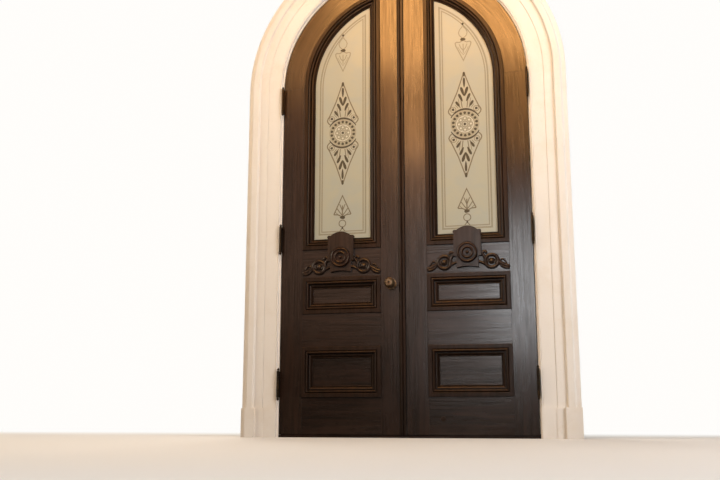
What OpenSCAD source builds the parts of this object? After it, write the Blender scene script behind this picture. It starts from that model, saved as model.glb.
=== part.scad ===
// A pair of arched, glazed and panelled entrance doors in a moulded arched casing.
// Both leaves swing on butt hinges towards the front, which faces -Y.
// The origin is on the floor, under the middle of the threshold, in the plane of the leaves' fronts.

/* [Opening] */
// Clear width between the jambs
opening_w = 1524; // [1360:1:1700]
// Height at which the round arch springs, above the floor
spring_h = 2156; // [2050:1:2500]
// Depth of the jambs, from front to back
jamb_d = 140; // [115:1:260]
// Thickness of the jambs and of the arched head
jamb_t = 32; // [26:1:50]
// Height of the threshold
threshold_h = 12; // [8:1:25]
// Thickness of the door stops
stop_t = 13; // [9:1:20]
// Width of the door stops, from front to back
stop_w = 38; // [20:1:50]

/* [Casing] */
// Width of the casing, from its inner to its outer edge
casing_w = 216; // [200:1:240]
// Strip of the jamb's edge left bare beside the casing
reveal = 10; // [9:1:14]
// Thickness of the casing's flat inner band
band_t = 18; // [14:1:22]
// Thickness of the raised outer band
outer_band_t = 36; // [30:1:45]
// Width of the raised outer band
outer_band_w = 44; // [36:1:50]
// Width of the thin strip outside the raised band
strip_w = 30; // [20:1:38]
// Thickness of that strip
strip_t = 14; // [10:1:17]
// Height of the plinth blocks
plinth_h = 170; // [120:1:260]
// How far the plinth blocks stand out past the casing
plinth_step = 4; // [2:1:10]

/* [Leaves] */
// Thickness of each leaf
leaf_t = 44.5; // [40:0.5:55]
// Gap around each leaf
leaf_gap = 5; // [4.5:0.5:8]
// Distance of the meeting gap from the middle of the opening
meeting_x = 10; // [0:1:12]
// Width of the hinge stiles and of the arched rails
stile_w = 136; // [120:1:160]
// Distance of the meeting stiles' inner edges from the middle of the opening
meeting_w = 141; // [125:1:160]
// Height of the bottom rail
bottom_rail_h = 217; // [150:1:260]
// Height of the opening for the lower panel
lower_panel_h = 290; // [200:1:320]
// Height of the middle rail
middle_rail_h = 203; // [150:1:230]
// Height of the opening for the upper panel
upper_panel_h = 214; // [160:1:240]
// Height of the frieze rail under the glass
frieze_rail_h = 177; // [170:1:220]
// Thickness of the wooden panels
panel_t = 10.5; // [8:0.5:16]
// Depth of the grooves that hold the panels
groove_d = 9; // [5:1:12]
// Thickness of the glass
glass_t = 6; // [4:0.5:10]

/* [Mouldings] */
// Width of the raised mouldings around the panels and the glass
mould_w = 67; // [62:1:72]
// Width of the raised outer band of that moulding
band_w = 24; // [20:1:27]
// Height of the band above the face of the leaf
band_h = 9; // [6:0.5:12]
// Overlap of the band on the stiles and rails
lip = 3; // [2:0.5:6]

/* [Hinges] */
// Height of a hinge's plates
hinge_h = 152; // [120:1:180]
// Radius of the knuckles
knuckle_r = 8; // [7:0.5:8.5]
// Radius of the pin
pin_r = 3.5; // [3:0.5:5]
// How far the pin stands in front of the leaves
pin_out = 30; // [16:1:45]
// Height of the lowest hinge's middle
low_hinge_z = 308; // [200:1:400]
// Distance of the highest hinge's middle below the arch
top_hinge_drop = 80; // [40:1:200]

/* [Knob] */
// Height of the knob
knob_z = 892; // [850:1:1000]
// Distance of the knob from the middle of the opening
knob_x = 77; // [76:1:100]
// Radius of the knob
knob_r = 31; // [26:0.5:34]
// Radius of the round plate behind the knob
rose_r = 33; // [26:0.5:36]

/* [Ornament] */
// Width of the crest plate
crest_w = 167; // [140:1:180]
// Height of the crest plate
crest_h = 238; // [200:1:260]
// Radius of the turned rosette
rosette_r = 59; // [45:1:62]
// Radius of the crest's large volutes
volute_r = 37; // [30:1:39]

/* [Hidden] */
$fn = 64;
opening_r = opening_w / 2;
leaf_r = opening_r - leaf_gap;
light_r = leaf_r - stile_w;
leaf_z = threshold_h + leaf_gap;
casing_r = opening_r + reveal;
back_gap = 5;
stop_y = leaf_t + back_gap;
// Levels of the rails and panels
lower_z = leaf_z + bottom_rail_h;
middle_z = lower_z + lower_panel_h;
upper_z = middle_z + middle_rail_h;
frieze_z = upper_z + upper_panel_h;
light_z = frieze_z + frieze_rail_h;
open_w = light_r - meeting_w;
// Parts of the casing's profile, from its inner edge outwards
edge_bead_r = 4.5;
casing_groove = 1.5;
casing_step = 3;
raised_x = casing_w - strip_w - outer_band_w;
casing_x = [raised_x * 0.6, raised_x, raised_x + outer_band_w];
ogee_r = (outer_band_t - band_t - casing_step) / 2;
// Parts of the leaves' mouldings, from the band inwards
run_w = mould_w - lip;
torus_r = 8;
quirk_w = 6;
quirk_depth = 14;
ovolo_top = -2;
ovolo_h = 9;
bead_r = 2.75;
panel_depth = (leaf_t - panel_t) / 2;
glass_depth = (leaf_t - glass_t) / 2;
glass_edge = 4;
bevel = 3.5;
// Hinge parts
plate_t = 2.2;
plate_y = 36;
axis_x = opening_r - leaf_gap / 2;
axis_y = -pin_out;
plate_gap = 0.5;
knuckle_gap = 0.5;
pin_play = 0.05;
tip_h = 22;
top_hinge_z = spring_h - top_hinge_drop;
mid_hinge_drop = 8;
hinge_zs = [low_hinge_z, (low_hinge_z + top_hinge_z) / 2 - mid_hinge_drop, top_hinge_z];
// Knob parts
spindle_r = 5;
knob_out = 50;
rose_t = 7;
// Ornament
seat = 0.3;
crest_x = (meeting_w + light_r) / 2;
crest_base = band_h + seat;
crest_rise = 0.22;
crest_z = frieze_z + frieze_rail_h * crest_rise;
crest_t = 15;
rosette_z = crest_z + crest_h / 3;
recess_d = 6;
recess_gap = 5.5;
// The crest's wings are drawn for a volute of this radius, with their rolls' two heights
wing_r = 37;
wing_h = 13;
thin_h = 11;
volute_at = [54.5, 27];
hook_at = [12.5, 74];
curl_at = [117, 22];

WOOD = [0.24, 0.16, 0.13];
ROSE_WOOD = [0.32, 0.18, 0.13];
PAINT = [0.95, 0.91, 0.86];
GLASS = [0.80, 0.74, 0.60, 0.9];
BRASS = [0.50, 0.40, 0.26];
BRONZE = [0.24, 0.20, 0.15];

// Stands a flat drawing up: its Z becomes the way out of the front face
module on_front() {
    rotate([90, 0, 0]) children();
}

// The same on the back face of a leaf
module on_back() {
    translate([0, leaf_t, 0]) mirror([0, 1, 0]) on_front() children();
}

module both_faces() {
    on_front() children();
    on_back() children();
}

module block(x0, x1, y0, y1, z0, z1) {
    translate([x0, y0, z0]) cube([x1 - x0, y1 - y0, z1 - z0]);
}

// A slab in the plane of the leaf, between two depths behind its front
module slab(y0, y1) {
    translate([0, y1, 0]) rotate([90, 0, 0]) linear_extrude(y1 - y0) children();
}

// Frame

// The threshold is rebated: its back part rises behind the leaves as a stop
module threshold() {
    color(WOOD) {
        block(-opening_r, opening_r, 0, jamb_d, 0, threshold_h);
        block(-opening_r, opening_r, stop_y, jamb_d, 0, threshold_h + stop_t);
    }
}

module right_jamb() {
    color(PAINT) block(opening_r, opening_r + jamb_t, 0, jamb_d, 0, spring_h);
}

module left_jamb() {
    mirror([1, 0, 0]) right_jamb();
}

module half_ring(r0, r1, y0, y1) {
    translate([0, y1, spring_h]) rotate([90, 0, 0]) rotate_extrude(angle = 180, $fn = 180)
        translate([r0, 0]) square([r1 - r0, y1 - y0]);
}

module arched_head() {
    color(PAINT) half_ring(opening_r, opening_r + jamb_t, 0, jamb_d);
}

module right_stop() {
    color(PAINT)
        block(opening_r - stop_t, opening_r, stop_y, stop_y + stop_w, threshold_h + stop_t, spring_h);
}

module left_stop() {
    mirror([1, 0, 0]) right_stop();
}

module arched_stop() {
    color(PAINT) half_ring(opening_r - stop_t, opening_r, stop_y, stop_y + stop_w);
}

// A concave quarter between a floor and a wall that stands on its left
module cove(floor_t, r) {
    difference() {
        square([r, floor_t + r]);
        translate([r, floor_t + r]) circle(r = r);
    }
}

// The casing's profile: X runs from the inner to the outer edge, Y is the thickness
module casing_profile() {
    bead_w = 2 * edge_bead_r;
    arris_r = strip_t / 3;
    // Bead on the inner edge, and the flat band between two grooves
    square([bead_w, band_t - edge_bead_r]);
    translate([edge_bead_r, band_t - edge_bead_r]) circle(r = edge_bead_r);
    square([casing_x[0], band_t - 2 * casing_groove]);
    translate([bead_w + casing_groove, 0]) square([casing_x[0] - bead_w - 2 * casing_groove, band_t]);
    // Second band, a step higher
    translate([casing_x[0], 0]) square([casing_x[1] - casing_x[0], band_t]);
    translate([casing_x[0] + casing_step, 0])
        square([casing_x[1] - casing_x[0] - casing_step, band_t + casing_step]);
    translate([casing_x[0] + casing_step, band_t]) circle(r = casing_step);
    // Raised band between two coves, with rounded arrises
    translate([casing_x[1], 0]) mirror([1, 0]) cove(band_t + casing_step, ogee_r);
    translate([casing_x[1], 0]) square([outer_band_w, outer_band_t - ogee_r]);
    translate([casing_x[1] + ogee_r, 0]) square([outer_band_w - 2 * ogee_r, outer_band_t]);
    for (x = [casing_x[1] + ogee_r, casing_x[2] - ogee_r])
        translate([x, outer_band_t - ogee_r]) circle(r = ogee_r);
    translate([casing_x[2], 0]) cove(strip_t, ogee_r);
    // Thin outer strip
    translate([casing_x[2], 0]) square([strip_w, strip_t - arris_r]);
    translate([casing_x[2], 0]) square([strip_w - arris_r, strip_t]);
    translate([casing_w - arris_r, strip_t - arris_r]) circle(r = arris_r);
}

module casing_leg() {
    translate([casing_r, 0, plinth_h]) mirror([0, 1, 0])
        linear_extrude(spring_h - plinth_h) casing_profile();
}

module casing_arch() {
    translate([0, 0, spring_h]) rotate([90, 0, 0]) rotate_extrude(angle = 180, $fn = 180)
        translate([casing_r, 0]) casing_profile();
}

// Moves a front piece to the back of the jambs
module behind_jambs() {
    translate([0, jamb_d, 0]) mirror([0, 1, 0]) children();
}

module front_right_casing() {
    color(PAINT) casing_leg();
}

module front_left_casing() {
    color(PAINT) mirror([1, 0, 0]) casing_leg();
}

module front_arched_casing() {
    color(PAINT) casing_arch();
}

module back_right_casing() {
    color(PAINT) behind_jambs() casing_leg();
}

module back_left_casing() {
    color(PAINT) behind_jambs() mirror([1, 0, 0]) casing_leg();
}

module back_arched_casing() {
    color(PAINT) behind_jambs() casing_arch();
}

// A plinth block steps as the casing above it does, a little further out
module plinth_block() {
    parts = [
        [0, casing_w, strip_t],
        [0, casing_x[2], band_t],
        [casing_x[0] - plinth_step, casing_x[2], band_t + casing_step],
        [casing_x[1] - ogee_r - plinth_step, casing_x[2], outer_band_t],
    ];
    translate([casing_r, 0, 0]) for (part = parts)
        block(part[0], part[1] + plinth_step, -part[2] - plinth_step, 0, 0, plinth_h);
}

module plinth_blocks() {
    color(PAINT) for (side = [0, 1]) mirror([side, 0, 0]) {
        plinth_block();
        behind_jambs() plinth_block();
    }
}

// Joinery of the leaves, drawn for the right leaf

// Outline of the opening for the glass, drawn in by a distance
module light_outline(inset) {
    x0 = meeting_w + inset;
    z0 = light_z + inset;
    r = light_r - inset;
    intersection() {
        union() {
            translate([x0, z0]) square([r - x0, spring_h - z0]);
            translate([0, spring_h]) circle(r = r, $fn = 180);
        }
        translate([x0, z0]) square([r, spring_h + r - z0]);
    }
}

module hinge_stile() {
    color(WOOD) difference() {
        block(light_r, leaf_r, 0, leaf_t, leaf_z, spring_h);
        panel_at(lower_z, lower_panel_h);
        panel_at(upper_z, upper_panel_h);
    }
}

// The meeting stile is shaped to the arch at its top, and its edge is bevelled towards the back
module meeting_stile(edge_x) {
    color(WOOD) difference() {
        intersection() {
            linear_extrude(spring_h + leaf_r)
                polygon([[edge_x, 0], [meeting_w, 0], [meeting_w, leaf_t], [edge_x + bevel, leaf_t]]);
            slab(0, leaf_t) {
                translate([0, spring_h]) circle(r = leaf_r, $fn = 180);
                translate([edge_x, leaf_z]) square([meeting_w - edge_x, spring_h - leaf_z]);
            }
        }
        panel_at(lower_z, lower_panel_h);
        panel_at(upper_z, upper_panel_h);
    }
}

module arched_rail() {
    color(WOOD) slab(0, leaf_t) intersection() {
        difference() {
            translate([0, spring_h]) circle(r = leaf_r, $fn = 180);
            translate([0, spring_h]) circle(r = light_r, $fn = 180);
        }
        translate([meeting_w, spring_h]) square([leaf_r, leaf_r]);
    }
}

module rail(z0, h) {
    color(WOOD) difference() {
        block(meeting_w, light_r, 0, leaf_t, z0, z0 + h);
        panel_at(lower_z, lower_panel_h);
        panel_at(upper_z, upper_panel_h);
    }
}

// A flat panel that fills its opening and the grooves around it
module panel_at(z0, h) {
    block(meeting_w - groove_d, light_r + groove_d, panel_depth, panel_depth + panel_t,
          z0 - groove_d, z0 + h + groove_d);
}

module panel(z0, h) {
    color(WOOD) panel_at(z0, h);
}

module pane() {
    color(GLASS) slab(glass_depth, glass_depth + glass_t) light_outline(glass_edge);
}

// Profile of the raised moulding: X runs inwards from the edge of the opening, Y out of the leaf's face
module moulding_profile(depth) {
    $fn = 32;
    edge_r = 2.5;
    groove = 1;
    band_x = band_w - lip;
    torus_x = band_x + groove + torus_r;
    quirk_x = torus_x + torus_r;
    ovolo_x = quirk_x + quirk_w;
    bead_x = run_w - bead_r;
    ovolo_w = bead_x - bead_r - 1.5 * groove - ovolo_x;
    ovolo_r = (ovolo_w * ovolo_w + ovolo_h * ovolo_h) / (2 * ovolo_h);
    bead_y = ovolo_top - ovolo_h - bead_r;
    // Flat band with rounded arrises
    translate([-lip, 0]) square([band_w, band_h - edge_r]);
    translate([edge_r - lip, 0]) square([band_w - 2 * edge_r, band_h]);
    for (x = [edge_r, band_w - edge_r]) translate([x - lip, band_h - edge_r]) circle(r = edge_r);
    // Torus behind a narrow groove, then a deep quirk
    translate([0, -depth]) square([quirk_x, depth]);
    translate([torus_x, 0]) circle(r = torus_r);
    translate([0, -depth]) square([ovolo_x, depth - quirk_depth]);
    // Ovolo that falls towards the field
    intersection() {
        translate([ovolo_x, ovolo_top - ovolo_r]) circle(r = ovolo_r, $fn = 64);
        translate([ovolo_x, -depth]) square([ovolo_w, depth + ovolo_top]);
    }
    // Bead beside the field
    translate([0, -depth]) square([run_w, depth + bead_y]);
    translate([bead_x, bead_y]) circle(r = bead_r);
}

// A straight length of moulding along X, with room for its mitres
module moulding_run(len, depth) {
    translate([-lip, 0, 0]) rotate([90, 0, 90]) linear_extrude(len + 2 * lip) moulding_profile(depth);
}

module mitred_run(len, depth) {
    intersection() {
        moulding_run(len, depth);
        translate([0, 0, -depth]) linear_extrude(depth + band_h)
            polygon([[-lip, -lip], [len + lip, -lip], [len - run_w, run_w], [run_w, run_w]]);
    }
}

// Four mitred lengths around a panel
module panel_frame(z0, h) {
    translate([meeting_w, z0, 0]) {
        mitred_run(open_w, panel_depth);
        translate([open_w, 0, 0]) rotate([0, 0, 90]) mitred_run(h, panel_depth);
        translate([open_w, h, 0]) rotate([0, 0, 180]) mitred_run(open_w, panel_depth);
        translate([0, h, 0]) rotate([0, 0, 270]) mitred_run(h, panel_depth);
    }
}

module panel_mouldings() {
    color(WOOD) both_faces() {
        panel_frame(lower_z, lower_panel_h);
        panel_frame(upper_z, upper_panel_h);
    }
}

// Height above the spring where an arc of radius r crosses the line x
function arc_z(r, x) = spring_h + sqrt(r * r - x * x);

// The glass moulding follows three straight edges and the arch, with a mitre where the arch meets the stile
module glass_frame() {
    depth = glass_depth;
    out_x = meeting_w - lip;
    in_x = meeting_w + run_w;
    out_z = arc_z(light_r + lip, out_x);
    in_z = arc_z(light_r - run_w, in_x);
    far = 2 * leaf_r;
    translate([meeting_w, light_z, 0]) mitred_run(open_w, depth);
    intersection() {
        translate([light_r, light_z, 0]) rotate([0, 0, 90]) moulding_run(spring_h, depth);
        translate([0, 0, -depth]) linear_extrude(depth + band_h)
            polygon([[light_r + lip, light_z - lip], [light_r + lip, spring_h],
                     [light_r - run_w, spring_h], [light_r - run_w, light_z + run_w]]);
    }
    intersection() {
        translate([meeting_w, spring_h + light_r, 0]) rotate([0, 0, 270])
            moulding_run(spring_h + light_r, depth);
        translate([0, 0, -depth]) linear_extrude(depth + band_h)
            polygon([[out_x, light_z - lip], [in_x, light_z + run_w], [in_x, in_z], [out_x, out_z]]);
    }
    intersection() {
        translate([0, spring_h, 0]) rotate_extrude(angle = 90, $fn = 180)
            translate([light_r, 0]) mirror([1, 0]) moulding_profile(depth);
        translate([0, 0, -depth]) linear_extrude(depth + band_h)
            polygon([[in_x, in_z], [out_x, out_z], [out_x, far + spring_h], [far, far + spring_h],
                     [far, spring_h], [in_x, spring_h]]);
    }
}

module glass_moulding() {
    color(WOOD) both_faces() glass_frame();
}

// Ornament on the frieze rail

// Outline of the crest plate: a low hump between two rounded shoulders, over a narrower foot with an arched
// underside
module crest_outline() {
    half = crest_w / 2;
    ear_r = half / 8;
    ear_x = half - ear_r;
    ear_z = crest_h * 0.862;
    side_x = half - ear_r / 3;
    hump_w = half - 1.5 * ear_r;
    hump_h = crest_h - ear_z - ear_r / 3;
    hump_r = (hump_w * hump_w + hump_h * hump_h) / (2 * hump_h);
    foot_w = half * 0.76;
    foot_drop = foot_w / 8;
    foot_r = (foot_w * foot_w + foot_drop * foot_drop) / (2 * foot_drop);
    neck_z = crest_h / 4;
    difference() {
        union() {
            translate([-foot_w, -2 * foot_drop]) square([2 * foot_w, neck_z + 3 * foot_drop]);
            translate([-side_x, neck_z]) square([2 * side_x, ear_z - neck_z]);
            translate([-ear_x, neck_z]) square([2 * ear_x, ear_z + ear_r - neck_z]);
            intersection() {
                translate([0, crest_h - hump_r]) circle(r = hump_r, $fn = 120);
                translate([-hump_w, ear_z - ear_r]) square([2 * hump_w, 2 * hump_h]);
            }
            for (side = [-1, 1]) translate([side * ear_x, ear_z]) circle(r = ear_r);
        }
        translate([0, -foot_r]) circle(r = foot_r, $fn = 120);
    }
}

// Section of a carved roll: a half-round on a base
module roll_section(w, h) {
    translate([-w / 2, 0]) square([w, h - w / 2]);
    intersection() {
        translate([0, h - w / 2]) circle(d = w);
        translate([-w / 2, 0]) square([w, h]);
    }
}

// A part of a ring of that section, from one angle to another
module ring_part(r, from, to, w, h) {
    rotate([0, 0, from]) rotate_extrude(angle = to - from) translate([r, 0]) roll_section(w, h);
}

// A carved roll that follows arcs, each [radius, turn], from a point and a heading, and swells a little from
// arc to arc. A turn over 0 is to the left.
module carved_roll(p, heading, arcs, w, h, tip = false, i = 0) {
    swell = 0.1;
    if (i < len(arcs)) {
        r = arcs[i][0];
        side = arcs[i][1] > 0 ? 1 : -1;
        centre = p + side * r * [cos(heading + 90), sin(heading + 90)];
        end_heading = heading + arcs[i][1];
        from = min(heading, end_heading) - side * 90;
        translate([centre.x, centre.y, 0]) ring_part(r, from, from + abs(arcs[i][1]), w, h);
        end = centre - side * r * [cos(end_heading + 90), sin(end_heading + 90)];
        carved_roll(end, end_heading, arcs, w + swell, h + swell / 2, tip, i + 1);
    } else if (tip) {
        translate([p.x, p.y, 0]) eye(w / 2 + swell, h + swell);
    }
}

// One wing of the crest, drawn beside the plate: a hook that runs down into the large volute, a stem from
// the plate's foot, and a leaf-like tail of two rolls under a curl
module scroll_wing() {
    $fn = 24;
    hook_r = 12;
    arm_w = 18;
    curl_r = 13;
    tip_at = hook_at + hook_r * [cos(20), sin(20)];
    translate([tip_at.x, tip_at.y, 0]) eye(arm_w / 2 - 0.8, thin_h + 0.2);
    carved_roll(tip_at, 110, [[hook_r, 205]], arm_w - 2, thin_h);
    carved_roll(hook_at - hook_r * [cos(45), sin(45)], -45, [[46.7, -48.75]], arm_w, wing_h);
    translate([volute_at.x, volute_at.y, 0]) volute();
    carved_roll([-24, 26], -8, [[88.5, -29]], arm_w - 1, thin_h);
    // Lower and upper roll of the tail, then the curl over its hollow
    carved_roll([101.8, 13.7], -70, [[44.5, 76]], arm_w, thin_h, tip = true);
    carved_roll([94, 23], -36, [[230, 15.7]], arm_w + 4, wing_h, tip = true);
    carved_roll(curl_at - [curl_r, 0], 90, [[curl_r, -135], [60, -20]], curl_r - 3, thin_h - 1, tip = true);
}

// A ring around an eye, with a groove between them that is bridged on the left and on the right
module volute() {
    ring_w = 22;
    eye_r = 19;
    bridge_r = 22.5;
    bridge_w = 14;
    rotate_extrude() translate([wing_r, 0]) roll_section(ring_w, wing_h + 0.6);
    eye(eye_r, wing_h);
    for (part = [[-38, 30], [135, 211]]) ring_part(bridge_r, part[0], part[1], bridge_w, wing_h - 1);
}

// A domed button of a given radius and height
module eye(r, h) {
    cylinder(r = r, h = h - r / 2);
    translate([0, 0, h - r / 2]) intersection() {
        translate([0, 0, -r * 0.75]) sphere(r = r * 1.25);
        cylinder(r = r, h = r);
    }
}

// The crest plate has a round recess for the rosette, and its foot fills the space below the moulding
module crest() {
    color(WOOD) on_front() translate([crest_x, crest_z, 0]) {
        difference() {
            translate([0, 0, crest_base]) linear_extrude(crest_t) crest_outline();
            translate([0, rosette_z - crest_z, crest_base + crest_t - recess_d])
                cylinder(r = rosette_r + recess_gap, h = crest_t, $fn = 120);
        }
        linear_extrude(crest_base) intersection() {
            crest_outline();
            translate([-crest_w, -crest_h]) square([2 * crest_w, light_z - lip - seat - crest_z + crest_h]);
        }
        for (side = [0, 1]) mirror([side, 0, 0]) translate([crest_w / 2, 0, 0])
            scale(volute_r / wing_r) scroll_wing();
    }
}

// The rosette is turned: a rim and an inner ring on a disc, and a button in a cup
module rosette_profile() {
    disc_t = 9 + recess_d;
    cup_t = 4 + recess_d;
    roll_w = rosette_r * 0.22;
    roll_h = disc_t + roll_w / 2;
    ring_x = rosette_r * 0.53;
    button_r = rosette_r / 6;
    square([ring_x, cup_t]);
    translate([ring_x, 0]) square([rosette_r - 1 - ring_x, disc_t]);
    translate([rosette_r - roll_w / 2, 0]) roll_section(roll_w, roll_h + 1);
    translate([ring_x, 0]) roll_section(roll_w, roll_h + 3);
    translate([0, cup_t]) intersection() {
        circle(r = button_r);
        square(button_r);
    }
}

module rosette() {
    color(ROSE_WOOD) on_front() translate([crest_x, rosette_z, crest_base + crest_t - recess_d])
        rotate_extrude() intersection() {
            rosette_profile();
            square(rosette_r);
        }
}

// Astragal on the meeting edge of the left leaf: a bead on a flat strip, and a fillet along the edge
module astragal() {
    edge = meeting_x - leaf_gap / 2;
    bead = 11;
    fillet = 12;
    fillet_t = 7;
    strip = 2;
    base_w = fillet + 2 * bead + 2 * strip;
    color(WOOD) intersection() {
        translate([0, 0, leaf_z]) linear_extrude(spring_h + leaf_r - leaf_z) mirror([0, 1]) {
            translate([edge - base_w, 0]) square([base_w, strip]);
            translate([edge - fillet, 0]) square([fillet, fillet_t]);
            translate([edge - fillet - strip - bead, strip]) intersection() {
                circle(r = bead);
                translate([-bead, -strip]) square([2 * bead, bead + strip]);
            }
        }
        slab(-knob_r, 0) {
            translate([0, spring_h]) circle(r = leaf_r, $fn = 180);
            translate([-meeting_w, 0]) square([2 * meeting_w, spring_h]);
        }
    }
}

// Hinges, drawn for the right leaf at the middle of the hinge

module hinge_tip() {
    collar_t = 2;
    ball_r = 7;
    spike_h = 6;
    cylinder(r = knuckle_r + knuckle_gap, h = collar_t);
    cylinder(r = knuckle_r / 2, h = tip_h / 2);
    translate([0, 0, tip_h / 2]) sphere(r = ball_r);
    translate([0, 0, tip_h - spike_h]) cylinder(r1 = spike_h / 2, r2 = 1, h = spike_h);
}

// One of the five knuckles, counted from the bottom
module knuckle(i) {
    h = hinge_h / 5;
    translate([0, 0, -hinge_h / 2 + i * h + knuckle_gap / 2]) cylinder(r = knuckle_r, h = h - knuckle_gap);
}

// The strip that joins a knuckle to its plate
module knuckle_arm(i, x0, x1) {
    h = hinge_h / 5;
    translate([x0, 0, -hinge_h / 2 + i * h + knuckle_gap / 2])
        cube([x1 - x0, knuckle_r + plate_gap + 1, h - knuckle_gap]);
}

module hinge_plate(x0, x1) {
    y0 = knuckle_r + plate_gap;
    translate([x0, y0, -hinge_h / 2]) cube([x1 - x0, pin_out + plate_y - y0, hinge_h]);
}

module frame_hinge() {
    x0 = leaf_gap / 2 - plate_t;
    x1 = leaf_gap / 2;
    for (i = [0, 2, 4]) {
        knuckle(i);
        knuckle_arm(i, x0, x1);
    }
    hinge_plate(x0, x1);
    translate([0, 0, -hinge_h / 2]) cylinder(r = pin_r, h = hinge_h);
    translate([0, 0, hinge_h / 2 - knuckle_gap]) hinge_tip();
    mirror([0, 0, 1]) translate([0, 0, hinge_h / 2 - knuckle_gap]) hinge_tip();
}

module leaf_hinge() {
    difference() {
        union() {
            for (i = [1, 3]) {
                knuckle(i);
                knuckle_arm(i, -leaf_gap / 2, -leaf_gap / 2 + plate_t);
            }
            hinge_plate(-leaf_gap / 2, -leaf_gap / 2 + plate_t);
        }
        translate([0, 0, -hinge_h]) cylinder(r = pin_r + pin_play, h = 2 * hinge_h);
    }
}

module right_frame_hinges() {
    color(BRONZE) for (z = hinge_zs) translate([axis_x, axis_y, z]) frame_hinge();
}

module left_frame_hinges() {
    mirror([1, 0, 0]) right_frame_hinges();
}

module right_leaf_hinges() {
    color(BRONZE) for (z = hinge_zs) translate([axis_x, axis_y, z]) leaf_hinge();
}

module left_leaf_hinges() {
    mirror([1, 0, 0]) right_leaf_hinges();
}

// Knob of the left leaf

module knob_rose() {
    bore_r = spindle_r + pin_play;
    edge_t = 3;
    collar_w = 8;
    parts = [[rose_r, edge_t], [rose_r - edge_t, rose_t - edge_t], [bore_r + collar_w, rose_t]];
    rotate_extrude() for (part = parts)
        translate([bore_r, 0]) square([part[0] - bore_r, part[1]]);
}

module knob_roses() {
    color(BRASS) translate([-knob_x, 0, knob_z]) both_faces() knob_rose();
}

// A turned knob: neck, collar and a flattened ball with a dimple
module knob_profile() {
    neck_r = 9;
    collar_w = 4;
    flat = knob_r * 0.8;
    dimple_r = 5;
    difference() {
        union() {
            translate([0, rose_t + 1]) square([neck_r, knob_out - rose_t]);
            translate([0, rose_t + 1]) square([neck_r + collar_w, collar_w]);
            intersection() {
                translate([0, knob_out]) circle(r = knob_r);
                translate([0, knob_out - flat]) square([knob_r, 2 * flat]);
            }
        }
        translate([0, knob_out + flat]) circle(r = dimple_r);
    }
}

module knobs() {
    color(BRASS) translate([-knob_x, 0, knob_z]) {
        both_faces() rotate_extrude() knob_profile();
        translate([0, leaf_t + rose_t + 2, 0]) rotate([90, 0, 0])
            cylinder(r = spindle_r, h = leaf_t + 2 * rose_t + 4);
    }
}

module knob_bore() {
    play = 3;
    translate([-knob_x, leaf_t + 1, knob_z]) rotate([90, 0, 0])
        cylinder(r = spindle_r + play, h = leaf_t + 2);
}

// Left and right leaves

module left() {
    mirror([1, 0, 0]) children();
}

module left_meeting_stile() {
    difference() {
        left() meeting_stile(leaf_gap / 2 - meeting_x);
        knob_bore();
    }
}

module right_meeting_stile() {
    meeting_stile(leaf_gap / 2 + meeting_x);
}

threshold();
left_jamb();
right_jamb();
arched_head();
left_stop();
right_stop();
arched_stop();
front_left_casing();
front_right_casing();
front_arched_casing();
back_left_casing();
back_right_casing();
back_arched_casing();
plinth_blocks();
left_frame_hinges();
right_frame_hinges();
left() hinge_stile();  // left_hinge_stile
left_meeting_stile();
left() arched_rail();  // left_arched_rail
left() rail(frieze_z, frieze_rail_h);  // left_frieze_rail
left() rail(middle_z, middle_rail_h);  // left_middle_rail
left() rail(leaf_z, bottom_rail_h);  // left_bottom_rail
left() panel(upper_z, upper_panel_h);  // left_upper_panel
left() panel(lower_z, lower_panel_h);  // left_lower_panel
left() panel_mouldings();  // left_panel_mouldings
left() pane();  // left_glass
left() glass_moulding();  // left_glass_moulding
left() crest();  // left_crest
left() rosette();  // left_rosette
left_leaf_hinges();
astragal();
knob_roses();
knobs();
hinge_stile();  // right_hinge_stile
right_meeting_stile();
arched_rail();  // right_arched_rail
rail(frieze_z, frieze_rail_h);  // right_frieze_rail
rail(middle_z, middle_rail_h);  // right_middle_rail
rail(leaf_z, bottom_rail_h);  // right_bottom_rail
panel(upper_z, upper_panel_h);  // right_upper_panel
panel(lower_z, lower_panel_h);  // right_lower_panel
panel_mouldings();  // right_panel_mouldings
pane();  // right_glass
glass_moulding();  // right_glass_moulding
crest();  // right_crest
rosette();  // right_rosette
right_leaf_hinges();
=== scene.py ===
import math

import bmesh
import bpy
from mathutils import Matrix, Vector


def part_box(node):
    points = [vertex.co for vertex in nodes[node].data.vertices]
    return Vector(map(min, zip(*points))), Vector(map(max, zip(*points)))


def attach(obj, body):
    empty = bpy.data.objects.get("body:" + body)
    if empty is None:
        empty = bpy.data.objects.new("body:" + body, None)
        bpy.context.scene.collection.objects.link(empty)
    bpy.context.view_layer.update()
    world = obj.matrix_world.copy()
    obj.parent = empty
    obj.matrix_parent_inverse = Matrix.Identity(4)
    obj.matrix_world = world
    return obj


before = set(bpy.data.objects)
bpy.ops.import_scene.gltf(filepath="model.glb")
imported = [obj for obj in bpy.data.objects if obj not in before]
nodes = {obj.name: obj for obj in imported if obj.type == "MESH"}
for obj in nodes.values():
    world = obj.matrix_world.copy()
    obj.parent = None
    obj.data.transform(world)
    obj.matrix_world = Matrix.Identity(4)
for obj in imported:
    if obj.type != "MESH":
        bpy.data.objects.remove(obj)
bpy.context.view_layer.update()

leafSides = {"left": -1, "right": 1}

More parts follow.
